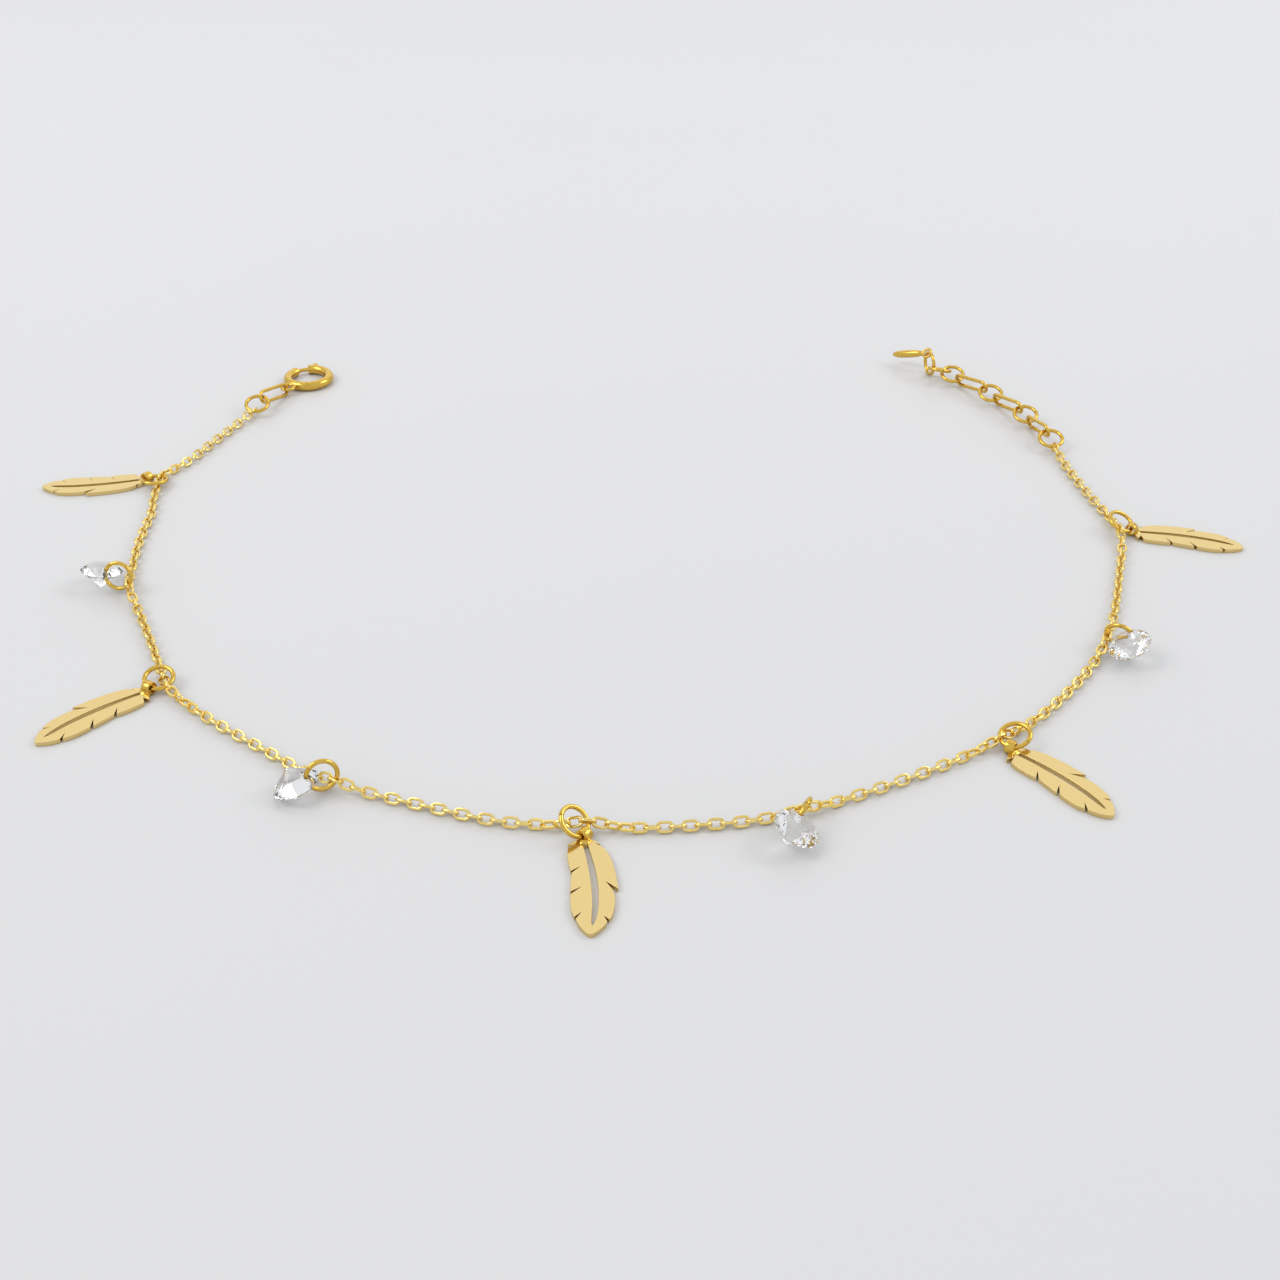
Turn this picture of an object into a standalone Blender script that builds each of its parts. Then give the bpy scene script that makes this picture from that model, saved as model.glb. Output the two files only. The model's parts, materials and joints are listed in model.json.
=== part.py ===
"""A fine gold cable-chain bracelet with feather and stone drops, lying open in a U.

The chain lies on the floor around the origin.  Nine jump rings pass through its
links; five of them carry pierced feathers and four carry drilled brilliants.  One
end holds a spring-ring clasp, the other an extender of rings with a small drop.
Lengths are in metres.  +Z is up and the open side of the U faces +Y.
"""

from math import atan2, ceil, cos, exp, pi, radians, sin, sqrt
from typing import NamedTuple

import bmesh
import bpy
from mathutils import Matrix, Vector

MM = 0.001

# Gaps
REST_GAP = 0.02 * MM
THREAD_GAP = 0.09 * MM
HALF_GAP = 0.15 * MM
RUN_GAP = 0.09 * MM

# Chain: the outer size of the links, and the middle line on the floor
CHAIN_WIDTH = 0.84 * MM
CHAIN_SIDES = 8
LIFT_REACH = 2.0 * MM
LIFT_STEPS = (-2.6, -1.2, 0.0, 1.2, 2.6)
CHAIN_RUN = 5.2 * MM
END_MARGIN = 0.55 * MM
CHAIN_ROUTE = (
    (-43.2, 33.7), (-44.9, 29.7), (-46.6, 25.4), (-47.9, 22.0), (-49.3, 19.4), (-50.3, 17.5),
    (-50.2, 14.6), (-49.9, 11.8), (-49.5, 9.3), (-49.4, 4.9), (-49.0, 0.2), (-47.95, -5.8),
    (-46.1, -9.9), (-44.1, -14.2), (-42.3, -18.3), (-40.35, -22.65), (-37.9, -25.3), (-34.5, -28.3),
    (-29.9, -31.9), (-26.4, -34.6), (-23.1, -36.7), (-19.6, -38.0), (-15.0, -39.6), (-10.0, -41.2),
    (-6.0, -41.8), (-2.1, -42.0), (2.4, -42.2), (8.4, -41.7), (12.0, -41.1), (15.3, -40.2),
    (18.6, -38.7), (22.9, -36.6), (28.0, -33.8), (33.05, -30.5), (37.0, -27.2), (41.0, -22.6),
    (44.0, -18.3), (45.8, -14.9), (47.2, -11.4), (48.6, -7.2), (50.1, -2.0), (51.2, 1.8),
    (51.6, 5.1), (51.3, 9.0), (50.3, 13.9), (49.4, 19.5), (48.8, 24.5),
)

# Round rings
RING_OUTER = 3.0 * MM
RING_WIRE = 0.42 * MM
RING_SEGMENTS = 16
WIRE_SIDES = 6

# Feather: a pierced plate with a bail loop
FEATHER_LENGTH = 11.8 * MM
FEATHER_WIDTH = 3.7 * MM
FEATHER_PLATE = 0.42 * MM
BAIL_HOLE = 0.80 * MM
BAIL_WALL = 0.22 * MM
BAIL_WIDTH = 0.85 * MM
BAIL_SEGMENTS = 16
NECK_OVERLAP = 0.12 * MM
FEATHER_EDGE = (
    (-0.13, 0.085), (-0.21, 0.090), (-0.37, 0.125), (-0.19, 0.140), (-0.36, 0.165), (-0.385, 0.215),
    (-0.375, 0.300), (-0.335, 0.395), (-0.125, 0.350), (-0.315, 0.412), (-0.345, 0.500), (-0.365, 0.595),
    (-0.125, 0.550), (-0.360, 0.618), (-0.375, 0.700), (-0.360, 0.780), (-0.310, 0.835), (-0.150, 0.788),
    (-0.285, 0.852), (-0.235, 0.905), (-0.130, 0.962), (0.005, 1.000), (0.150, 0.972), (0.330, 0.908),
    (0.352, 0.888), (0.290, 0.832), (0.395, 0.872), (0.475, 0.825), (0.535, 0.740), (0.550, 0.655),
    (0.525, 0.600), (0.380, 0.505), (0.635, 0.588), (0.615, 0.470), (0.580, 0.370), (0.530, 0.285),
    (0.450, 0.205), (0.365, 0.160), (0.215, 0.120), (0.330, 0.138), (0.250, 0.105), (0.15, 0.085),
)
FEATHER_SLOT = (
    (-0.045, 0.135), (0.060, 0.128), (0.110, 0.220), (0.170, 0.340), (0.205, 0.450), (0.220, 0.560),
    (0.215, 0.660), (0.190, 0.760), (0.140, 0.850), (0.055, 0.920), (0.030, 0.900), (0.045, 0.830),
    (0.075, 0.720), (0.080, 0.600), (0.065, 0.470), (0.030, 0.320), (-0.010, 0.210),
)

# Stone: a round brilliant, drilled from table to pavilion near its edge
STONE_WIDTH = 4.0 * MM
STONE_TABLE = 2.3 * MM
STONE_CROWN = 0.60 * MM
STONE_GIRDLE = 0.12 * MM
STONE_PAVILION = 1.70 * MM
STONE_HOLE = 0.78 * MM
STONE_HOLE_RADIUS = 1.25 * MM
STONE_MAINS = 8
HOLE_SEGMENTS = 12

# Spring-ring clasp: a bored ring, open at its mouth, and the bolt that slides in it
CLASP_OUTER = 6.0 * MM
CLASP_TUBE = 1.10 * MM
CLASP_BORE = 0.66 * MM
CLASP_WAY = radians(64.2)
CLASP_EYE_TURN = radians(240.0)
MOUTH_FROM = radians(100.0)
MOUTH_TO = radians(135.0)
BOLT_TAIL = radians(32.0)
BOLT_TIP = radians(138.0)
TRIGGER_TURN = radians(85.0)
TRIGGER_TRAVEL = radians(38.0)
TRIGGER_REACH = 0.75 * MM
TRIGGER_STEM = 0.36 * MM
TRIGGER_KNOB = 0.80 * MM
EYE_OUTER = 1.90 * MM
EYE_WIRE = 0.40 * MM
EYE_RISE = 0.28 * MM
EYE_SEAT = 0.12 * MM
TUBE_SIDES = 10
BORE_SIDES = 8

# Long links, and the leaning rings that they join
LINK_LENGTH = 5.5 * MM
LINK_WIDTH = 1.70 * MM
LINK_ROLL = radians(75.0)
RING_LEAN = radians(18.0)
RING_HEIGHT = 1.25 * MM
EXTENDER_ROUTE = ((48.6, 25.3), (46.6, 32.3), (43.2, 38.2), (39.7, 43.1), (36.0, 47.6))
EXTENDER_RINGS = 4

# Last rings and the drop
BAR_RING_OFFSET = (-1.42, 1.07, 0.09)
BAR_RING_ACROSS = (-2.3, 1.38, -0.13)
BAR_RING_ALONG = (0.0, 0.95, -0.35)
UPRIGHT_RING_OFFSET = (-2.45, 2.57)
UPRIGHT_RING_TURN = radians(15.0)
TAG_EYE_TURN = radians(50.0)
TAG_REACH = (-5.7, 4.8)
TAG_WIDTH = 0.95 * MM
TAG_LENGTH = 4.4 * MM
TAG_EYE_OUTER = 1.40 * MM
TAG_EYE_WIRE = 0.32 * MM

# The route's own zero lies here from the middle of the whole piece
ORIGIN_OFFSET = (-0.48, 2.61)

RING_RADIUS = (RING_OUTER - RING_WIRE) / 2
CHAIN_HEIGHT = CHAIN_WIDTH / 2 + REST_GAP


class RingPose(NamedTuple):
    """How a ring hangs on the chain.

    Args:
        share: Where it passes through, as a share of the chain's length.
        lift: Height of the threaded link above the floor, in millimetres.
        heading: Direction from there to the ring's centre, seen from above.
        rise: How far that direction points upwards.
        roll: Turn of the ring about that direction.
    """

    share: float
    lift: float
    heading: float
    rise: float
    roll: float


class FeatherPose(NamedTuple):
    """A feather, its ring, and the way it points.

    Args:
        ring: The ring that it hangs on.
        around: Where on the ring its bail hangs, counted from the chain.
        heading: Direction of the tip, seen from above.
        flipped: Whether its other face is up.
    """

    ring: RingPose
    around: float
    heading: float
    flipped: bool


class StonePose(NamedTuple):
    """A stone and its ring.

    Args:
        ring: The ring that it hangs on.
        around: Where on the ring, counted from the chain.
        turn: Turn of the stone about its hole.
        face: Which way along the ring its table points, 1 or -1.
    """

    ring: RingPose
    around: float
    turn: float
    face: int


FEATHERS = (
    FeatherPose(RingPose(0.0875, 0.57, 250, 9, 272), 288, 188, False),
    FeatherPose(RingPose(0.2947, 0.71, 137, 12, 78), 281, -135, True),
    FeatherPose(RingPose(0.5126, 1.00, 212, 23, 55), 299, -86, False),
    FeatherPose(RingPose(0.6995, 0.75, 358, 14, 104), 63, -53, False),
    FeatherPose(RingPose(0.9031, 1.03, 69, 9, 115), 82, -17.5, False),
)
STONES = (
    StonePose(RingPose(0.2034, 1.11, 163, 33, 199), 150, -47, 1),
    StonePose(RingPose(0.4049, 1.01, 195, 35, 11), 232, 33, 1),
    StonePose(RingPose(0.5995, 0.85, 258, 26, 152), 161, 16, 1),
    StonePose(RingPose(0.8000, 0.91, 323, 26, 197), 174, -82, 1),
)


def point(x, y, z=0.0):
    """Returns a point given in millimetres."""
    return Vector((x, y, z)) * MM


def heading_of(angle):
    """Returns the level unit vector at an angle from +X."""
    return Vector((cos(angle), sin(angle), 0.0))


def axes(z_axis, x_hint):
    """Returns a rotation whose Z is z_axis and whose X lies nearest to x_hint."""
    z = z_axis.normalized()
    x = (x_hint - z * x_hint.dot(z)).normalized()
    return Matrix((x, z.cross(x), z)).transposed()


# Materials


def material(name, colour, roughness, metallic, alpha=1.0):
    """Returns a Principled material."""
    made = bpy.data.materials.new(name)
    made.use_nodes = True
    shader = made.node_tree.nodes["Principled BSDF"]
    shader.inputs["Base Color"].default_value = (*colour, 1.0)
    shader.inputs["Roughness"].default_value = roughness
    shader.inputs["Metallic"].default_value = metallic
    shader.inputs["Alpha"].default_value = alpha
    return made


# Meshes


def add_object(name, mesh, finish, smooth=True):
    """Links a mesh into the scene as one named object."""
    placed = bpy.data.objects.new(name, mesh)
    bpy.context.scene.collection.objects.link(placed)
    if finish is not None:
        mesh.materials.clear()
        mesh.materials.append(finish)
    if smooth:
        mesh.shade_smooth()
        mesh.set_sharp_from_angle(angle=radians(50))
    return placed


def place(placed, centre, turn=None):
    """Moves an object to a centre, with its axes turned."""
    frame = Matrix.Identity(4) if turn is None else turn.to_4x4()
    placed.matrix_world = Matrix.Translation(centre) @ frame
    return placed


def sweep_mesh(name, points, radius, sides, closed, up=Vector((0, 0, 1))):
    """Returns a round wire along points.

    Args:
        name: Name of the mesh.
        points: Points of the middle line.
        radius: Radius of the wire.
        sides: Sides of its section.
        closed: Whether the last point joins the first.
        up: A direction that the line never follows.
    """
    made = bmesh.new()
    count = len(points)
    rings = []
    for index, here in enumerate(points):
        before = points[index - 1] if closed or index else here
        after = points[(index + 1) % count] if closed or index < count - 1 else here
        along = (after - before).normalized()
        side = along.cross(up).normalized()
        top = side.cross(along)
        ring = []
        for step in range(sides):
            angle = 2 * pi * (step + 0.5) / sides
            ring.append(made.verts.new(here + (side * cos(angle) + top * sin(angle)) * radius))
        rings.append(ring)
    for index in range(count if closed else count - 1):
        near, far = rings[index], rings[(index + 1) % count]
        for step in range(sides):
            nxt = (step + 1) % sides
            made.faces.new((near[step], near[nxt], far[nxt], far[step]))
    if not closed:
        made.faces.new(rings[0])
        made.faces.new(rings[-1])
    bmesh.ops.recalc_face_normals(made, faces=made.faces)
    mesh = bpy.data.meshes.new(name)
    made.to_mesh(mesh)
    made.free()
    return mesh


def arc_points(radius, start, end, count):
    """Returns points along an arc in the XY plane."""
    return [heading_of(start + (end - start) * i / (count - 1)) * radius for i in range(count)]


def circle_points(radius, count):
    """Returns points around a whole circle in the XY plane."""
    return [heading_of(2 * pi * i / count) * radius for i in range(count)]


def stadium_points(length, width, steps):
    """Returns points around a long link's middle line, long in X."""
    radius = width / 2
    half = length / 2 - radius
    right = [Vector((half, 0, 0)) + heading_of(-pi / 2 + pi * i / steps) * radius for i in range(steps + 1)]
    left = [Vector((-half, 0, 0)) + heading_of(pi / 2 + pi * i / steps) * radius for i in range(steps + 1)]
    return right + left


def hide_tool(placed):
    """Marks an object as a cutter or a joined piece, which is no part of the model."""
    placed.hide_render = True
    placed.display_type = "WIRE"
    return placed


def boolean(target, tool, operation):
    """Adds a Boolean modifier that stays on the object."""
    hide_tool(tool)
    modifier = target.modifiers.new(operation.title(), "BOOLEAN")
    modifier.operation = operation
    modifier.object = tool
    return target


# Chain


def smooth_route(points, step):
    """Returns a dense smooth curve through the points."""
    line = []
    for index in range(len(points) - 1):
        p1, p2 = points[index], points[index + 1]
        p0 = points[index - 1] if index else p1 * 2 - p2
        p3 = points[index + 2] if index + 2 < len(points) else p2 * 2 - p1
        pieces = max(2, ceil((p2 - p1).length / step))
        for piece in range(pieces):
            t = piece / pieces
            line.append(
                0.5
                * (
                    p1 * 2
                    + (p2 - p0) * t
                    + (p0 * 2 - p1 * 5 + p2 * 4 - p3) * t * t
                    + (p1 * 3 - p0 - p2 * 3 + p3) * t * t * t
                )
            )
    line.append(points[-1])
    return line


class Route:
    """A smooth line that can be read by the distance along it."""

    def __init__(self, points, step=0.3 * MM):
        self.line = smooth_route(points, step)
        self.marks = [0.0]
        for first, second in zip(self.line, self.line[1:]):
            self.marks.append(self.marks[-1] + (second - first).length)
        self.length = self.marks[-1]

    def at(self, distance):
        """Returns the point at a distance from the start."""
        distance = min(max(distance, 0.0), self.length)
        low, high = 0, len(self.marks) - 1
        while high - low > 1:
            middle = (low + high) // 2
            if self.marks[middle] <= distance:
                low = middle
            else:
                high = middle
        share = (distance - self.marks[low]) / (self.marks[high] - self.marks[low])
        return self.line[low].lerp(self.line[high], share)

    def along(self, distance):
        """Returns the direction at a distance from the start."""
        reach = 0.5 * MM
        return (self.at(distance + reach) - self.at(distance - reach)).normalized()


class Chain:
    """The chain's middle line, lifted where rings pass through it."""

    def __init__(self):
        self.route = Route([point(x, y) for x, y in CHAIN_ROUTE])
        self.lifts = []

    def lift_at(self, distance):
        """Returns the height of the middle line."""
        rise = 0.0
        for place_, height in self.lifts:
            rise = max(rise, (height - CHAIN_HEIGHT) * exp(-(((distance - place_) / LIFT_REACH) ** 2)))
        return CHAIN_HEIGHT + rise

    def at(self, distance):
        """Returns the lifted point at a distance."""
        flat = self.route.at(distance)
        return Vector((flat.x, flat.y, self.lift_at(distance)))

    def stations(self, start, end):
        """Returns the distances at which the tube has a point."""
        marks = {start, end}
        for place_, _ in self.lifts:
            for step in LIFT_STEPS:
                if start < place_ + step * MM < end:
                    marks.add(place_ + step * MM)
        ordered = sorted(marks)
        filled = []
        for first, second in zip(ordered, ordered[1:]):
            if filled and first - filled[-1] < 0.4 * MM:
                continue
            pieces = max(1, ceil((second - first) / CHAIN_RUN - 0.3))
            filled.extend(first + (second - first) * i / pieces for i in range(pieces))
        filled.append(end)
        return filled


def chain_tube(name, line, finish):
    """Returns a tube along a line, as a mesh that can be drilled.

    Args:
        name: Name of the node.
        line: Points of the middle line.
        finish: Its material.
    """
    curve = bpy.data.curves.new(name + "_line", "CURVE")
    curve.dimensions = "3D"
    curve.bevel_depth = CHAIN_WIDTH / 2
    curve.bevel_resolution = CHAIN_SIDES // 2 - 2
    curve.render_resolution_u = 0
    curve.use_fill_caps = True
    spline = curve.splines.new("POLY")
    spline.points.add(len(line) - 1)
    for target, here in zip(spline.points, line):
        target.co = (*here, 1.0)
    source = bpy.data.objects.new(name + "_line", curve)
    bpy.context.scene.collection.objects.link(source)
    bpy.context.view_layer.update()
    evaluated = source.evaluated_get(bpy.context.evaluated_depsgraph_get())
    mesh = bpy.data.meshes.new_from_object(evaluated)
    mesh.name = name
    bpy.data.objects.remove(source)
    return add_object(name, mesh, finish)


# Rings on the chain


class HangingRing:
    """A ring's circle, worked out from the way it hangs."""

    def __init__(self, thread, heading, rise, roll):
        self.thread = thread
        self.out = Vector((cos(rise) * cos(heading), cos(rise) * sin(heading), sin(rise)))
        up = (Vector((0, 0, 1)) - self.out * self.out.z).normalized()
        side = self.out.cross(up)
        self.along = up * cos(roll) + side * sin(roll)
        self.normal = self.out.cross(self.along)
        self.centre = thread + self.out * RING_RADIUS

    def spoke(self, angle):
        """Returns the outward direction at an angle from the chain."""
        return -self.out * cos(angle) + self.along * sin(angle)

    def tangent(self, angle):
        """Returns the wire's direction at an angle from the chain."""
        return self.out * sin(angle) + self.along * cos(angle)


def hang(chain, pose):
    """Returns the ring for a pose, and lifts the chain to it."""
    distance = pose.share * chain.route.length
    flat = chain.route.at(distance)
    thread = Vector((flat.x, flat.y, pose.lift * MM))
    chain.lifts.append((distance, thread.z))
    return HangingRing(thread, radians(pose.heading), radians(pose.rise), radians(pose.roll))


class Workshop:
    """Makes and places the pieces, with their shared meshes and materials."""

    def __init__(self):
        self.gold = material("gold", (0.86, 0.60, 0.20), 0.22, 1.0)
        self.pale_gold = material("pale_gold", (0.86, 0.67, 0.36), 0.30, 1.0)
        self.glass = material("stone", (0.86, 0.88, 0.90), 0.03, 0.0, 0.4)
        self.ring_mesh = sweep_mesh(
            "jump_ring", circle_points(RING_RADIUS, RING_SEGMENTS), RING_WIRE / 2, WIRE_SIDES, True
        )
        self.link_mesh = sweep_mesh(
            "long_link",
            stadium_points(LINK_LENGTH - RING_WIRE, LINK_WIDTH - RING_WIRE, 6),
            RING_WIRE / 2,
            WIRE_SIDES,
            True,
        )
        self.drill_mesh = sweep_mesh(
            "ring_path", circle_points(RING_RADIUS, 24), RING_WIRE / 2 + THREAD_GAP, 8, True
        )
        self.feather_mesh = feather_mesh()
        self.stone_mesh = stone_mesh()

    def ring(self, name, centre, normal, start):
        """Places a jump ring."""
        return place(add_object(name, self.ring_mesh, self.gold), centre, axes(normal, start))

    def ring_drill(self, name, centre, normal, start):
        """Places the cutter that follows a ring's wire."""
        return hide_tool(place(add_object(name, self.drill_mesh, None), centre, axes(normal, start)))

    def long_link(self, name, first, second):
        """Places a long link so that its ends reach past two wires."""
        along = (second - first).normalized()
        level = along.cross(Vector((0, 0, 1))).normalized()
        across = along.cross(level)
        width = level * cos(LINK_ROLL) + across * sin(LINK_ROLL)
        normal = along.cross(width)
        placed = add_object(name, self.link_mesh, self.gold)
        return place(placed, (first + second) / 2, axes(normal, along))


# Feather


def edge_points(table, width, length):
    """Returns a table of shares as points of the feather."""
    return [Vector((-s * width, u * length, 0)) for s, u in table]


def feather_mesh():
    """Returns the pierced plate, with the bail's centre at the origin and its tip at +Y."""
    bail_outer = BAIL_HOLE / 2 + BAIL_WALL
    made = bmesh.new()
    edges = []
    for table in (FEATHER_EDGE, FEATHER_SLOT):
        loop = [made.verts.new(p) for p in edge_points(table, FEATHER_WIDTH, FEATHER_LENGTH)]
        edges += [made.edges.new((a, b)) for a, b in zip(loop, loop[1:] + loop[:1])]
    bmesh.ops.triangle_fill(made, edges=edges, use_beauty=True, use_dissolve=False)
    faces = list(made.faces)
    grown = bmesh.ops.extrude_face_region(made, geom=faces)
    top = [item for item in grown["geom"] if isinstance(item, bmesh.types.BMVert)]
    bmesh.ops.translate(made, verts=top, vec=Vector((0, 0, FEATHER_PLATE)))
    drop = Vector((0, -bail_outer, -bail_outer))
    bmesh.ops.translate(made, verts=made.verts, vec=drop)
    bmesh.ops.recalc_face_normals(made, faces=made.faces)
    mesh = bpy.data.meshes.new("feather_plate")
    made.to_mesh(mesh)
    made.free()
    return mesh


def bail_mesh(turn):
    """Returns the bail loop, its hole turned from +X about Z, with a neck to the plate."""
    outer = BAIL_HOLE / 2 + BAIL_WALL
    made = bmesh.new()
    rings = []
    for radius, side in ((outer, -1), (outer, 1), (BAIL_HOLE / 2, 1), (BAIL_HOLE / 2, -1)):
        ring = []
        for step in range(BAIL_SEGMENTS):
            angle = 2 * pi * step / BAIL_SEGMENTS
            spot = Vector((side * BAIL_WIDTH / 2, radius * cos(angle), radius * sin(angle)))
            ring.append(made.verts.new(spot))
        rings.append(ring)
    for near, far in zip(rings, rings[1:] + rings[:1]):
        for step in range(BAIL_SEGMENTS):
            nxt = (step + 1) % BAIL_SEGMENTS
            made.faces.new((near[step], far[step], far[nxt], near[nxt]))
    bmesh.ops.rotate(made, verts=made.verts, cent=Vector(), matrix=Matrix.Rotation(turn, 3, "Z"))
    bmesh.ops.recalc_face_normals(made, faces=made.faces)
    mesh = bpy.data.meshes.new("bail")
    made.to_mesh(mesh)
    made.free()
    return mesh


def neck_mesh():
    """Returns the block that joins the bail's wall to the plate."""
    outer = BAIL_HOLE / 2 + BAIL_WALL
    near = BAIL_HOLE / 2 + BAIL_WALL * 0.35
    far = FEATHER_EDGE[0][1] * FEATHER_LENGTH - outer + NECK_OVERLAP * 3
    half = BAIL_WIDTH * 0.42
    low, high = -outer + FEATHER_PLATE * 0.2, -outer + FEATHER_PLATE * 1.35
    made = bmesh.new()
    block = bmesh.ops.create_cube(made, size=1.0)["verts"]
    for vert in block:
        vert.co = Vector((vert.co.x * 2 * half, far if vert.co.y > 0 else near, high if vert.co.z > 0 else low))
        if vert.co.y == far and vert.co.z == high:
            vert.co.z = -outer + FEATHER_PLATE * 0.9
    bmesh.ops.recalc_face_normals(made, faces=made.faces)
    mesh = bpy.data.meshes.new("neck")
    made.to_mesh(mesh)
    made.free()
    return mesh


def add_feather(shop, number, pose, ring):
    """Places a feather on the floor, with its bail around its ring."""
    outer = BAIL_HOLE / 2 + BAIL_WALL
    around = radians(pose.around)
    hold = ring.centre + ring.spoke(around) * RING_RADIUS
    centre = Vector((hold.x, hold.y, outer + REST_GAP))
    aim = heading_of(radians(pose.heading))
    wire = ring.tangent(around)
    wire = Vector((wire.x, wire.y, 0)).normalized()
    across = aim.cross(Vector((0, 0, 1)))
    if wire.dot(across) < 0:
        wire = -wire
    turn = atan2(across.cross(wire).z, across.dot(wire))
    frame = axes(Vector((0, 0, 1)), across)
    name = "feather_%d" % number
    mesh = shop.feather_mesh.copy()
    if pose.flipped:
        mesh.transform(Matrix.Scale(-1, 4, Vector((1, 0, 0))))
        mesh.flip_normals()
    plate = place(add_object(name, mesh, shop.pale_gold, smooth=False), centre, frame)
    bail = place(add_object(name + "_bail", bail_mesh(turn), shop.pale_gold), centre, frame)
    neck = place(add_object(name + "_neck", neck_mesh(), shop.pale_gold), centre, frame)
    boolean(plate, neck, "UNION")
    boolean(plate, bail, "UNION")
    return plate


# Stone


def stone_mesh():
    """Returns a brilliant with its girdle around the origin and its table at +Z."""
    girdle = STONE_WIDTH / 2
    table = STONE_TABLE / 2
    half = STONE_GIRDLE / 2
    step = 2 * pi / STONE_MAINS
    shrink = cos(step / 2)
    star = (table + (girdle - table) * 0.42) / shrink
    crown_fall = (star * shrink - table) / (girdle - table)
    lower = girdle * 0.24
    made = bmesh.new()

    def add(radius, angle, height):
        made.verts.new(Vector((radius * cos(angle), radius * sin(angle), height)))

    for main in range(STONE_MAINS):
        angle = main * step
        between = angle + step / 2
        add(table, angle, half + STONE_CROWN)
        add(star, between, half + STONE_CROWN * (1 - crown_fall))
        add(lower, between, -half - STONE_PAVILION * (1 - lower * shrink / girdle))
        for facet in (angle, between):
            add(girdle, facet, half)
            add(girdle, facet, -half)
    add(0.0, 0.0, -half - STONE_PAVILION)
    bmesh.ops.convex_hull(made, input=made.verts)
    bmesh.ops.recalc_face_normals(made, faces=made.faces)
    mesh = bpy.data.meshes.new("brilliant")
    made.to_mesh(mesh)
    made.free()
    return mesh


def add_stone(shop, number, pose, ring):
    """Places a drilled stone on its ring."""
    angle = radians(pose.around)
    spoke = ring.spoke(angle)
    axis = ring.tangent(angle) * pose.face
    spot = ring.centre + spoke * RING_RADIUS
    thick = STONE_CROWN + STONE_GIRDLE + STONE_PAVILION * (1 - STONE_HOLE_RADIUS / (STONE_WIDTH / 2))
    sag = RING_RADIUS - sqrt(RING_RADIUS**2 - (thick / 2) ** 2)
    hole = spot - spoke * sag / 2
    turned = Matrix.Rotation(radians(pose.turn), 3, axis) @ spoke
    centre = hole + turned * STONE_HOLE_RADIUS
    stone = place(
        add_object("stone_%d" % number, shop.stone_mesh.copy(), shop.glass, smooth=False),
        centre,
        axes(axis, turned),
    )
    drill = sweep_mesh("stone_hole", [axis * -STONE_WIDTH, axis * STONE_WIDTH], STONE_HOLE / 2, HOLE_SEGMENTS, False, turned)
    return boolean(stone, place(add_object("stone_hole_%d" % number, drill, None), hole), "DIFFERENCE")


# Clasp


def left_ring():
    """Returns the middle of the ring at the chain's start, and its wire's point nearest the clasp."""
    start = point(*CHAIN_ROUTE[0])
    way = heading_of(CLASP_WAY)
    centre = start + way * (RING_RADIUS * cos(RING_LEAN) - END_MARGIN) + Vector((0, 0, RING_HEIGHT))
    return centre, reach_towards(centre, lean_normal(), centre + way * LINK_LENGTH)


def eye_centre():
    """Returns the middle of the clasp's fixed eye, one long link on from the ring."""
    _, hook = left_ring()
    height = CLASP_TUBE / 2 + REST_GAP + EYE_RISE
    level = sqrt(hook_distance() ** 2 - (hook.z - height) ** 2)
    spot = hook + heading_of(CLASP_WAY) * (level + (EYE_OUTER - EYE_WIRE) / 2)
    return Vector((spot.x, spot.y, height))


def clasp_frame():
    """Returns the middle of the clasp, which lies flat on the floor."""
    reach = CLASP_OUTER / 2 + EYE_OUTER / 2 - EYE_SEAT
    spot = eye_centre() - heading_of(CLASP_EYE_TURN) * reach
    return Vector((spot.x, spot.y, CLASP_TUBE / 2 + REST_GAP))


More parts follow.
